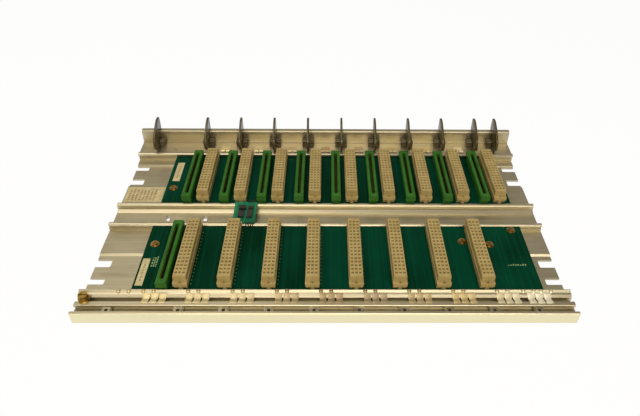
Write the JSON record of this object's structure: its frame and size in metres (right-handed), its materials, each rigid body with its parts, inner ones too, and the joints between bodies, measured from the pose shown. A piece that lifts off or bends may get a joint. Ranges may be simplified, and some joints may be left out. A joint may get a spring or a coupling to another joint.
{
  "type": "backplane module rack",
  "caption": "Extruded aluminium panel with two backplane boards, rows of sockets and edge connectors, a T-slot front rail and guide fins along the rear rail",
  "frame": {"origin": "bottom centre of the bounding box, on the flat back", "axes": "+X along the panel, +Y from the front rail to the rear rail, +Z away from the wall"},
  "size_m": [0.4826, 0.303, 0.047],
  "materials": {
    "aluminium": "mill finish extrusion, fine lines along its length, dull with small stains",
    "board": "glass fibre board under dark green solder resist",
    "link_board": "glass fibre board under mid green solder resist",
    "chips": "black moulded packages",
    "fin": "dark olive brown moulded plastic, satin",
    "socket": "beige glass filled moulding, satin",
    "edge_connector": "green moulded plastic, satin",
    "spring": "gold plated spring metal, partly dulled",
    "nut": "zinc plated steel",
    "ground_brass": "dark yellow brass",
    "screw": "yellow plated steel",
    "spacer": "natural nylon",
    "label": "aged cream label, unprinted bars"
  },
  "bodies": {
    "root": {"back_panel": "aluminium", "upper_board": "board", "lower_board": "board", "link_board": "link_board", "link_parts": "chips", "guide_fin_1": "fin", "guide_fin_2": "fin", "guide_fin_3": "fin", "guide_fin_4": "fin", "guide_fin_5": "fin", "guide_fin_6": "fin", "guide_fin_7": "fin", "guide_fin_8": "fin", "guide_fin_9": "fin", "guide_fin_10": "fin", "guide_fin_11": "fin", "upper_socket_1": "socket", "upper_socket_2": "socket", "upper_socket_3": "socket", "upper_socket_4": "socket", "upper_socket_5": "socket", "upper_socket_6": "socket", "upper_socket_7": "socket", "upper_socket_8": "socket", "upper_socket_9": "socket", "lower_socket_1": "socket", "lower_socket_2": "socket", "lower_socket_3": "socket", "lower_socket_4": "socket", "lower_socket_5": "socket", "lower_socket_6": "socket", "lower_socket_7": "socket", "lower_socket_8": "socket", "upper_edge_1": "edge_connector", "upper_edge_2": "edge_connector", "upper_edge_3": "edge_connector", "upper_edge_4": "edge_connector", "upper_edge_5": "edge_connector", "upper_edge_6": "edge_connector", "upper_edge_7": "edge_connector", "upper_edge_8": "edge_connector", "upper_edge_9": "edge_connector", "lower_edge": "edge_connector", "contact_strip_1": "spring", "contact_strip_2": "spring", "contact_strip_3": "spring", "contact_strip_4": "spring", "contact_strip_5": "spring", "contact_strip_6": "spring", "contact_strip_7": "spring", "contact_strip_8": "spring", "contact_strip_9": "spring", "contact_strip_10": "spring", "clamp_nuts": "nut", "rail_springs": "spring", "ground_bolt": "ground_brass", "ground_washer": "ground_brass", "board_screws": "screw", "board_spacers": "spacer", "labels": "label"}
  },
  "joints": []
}
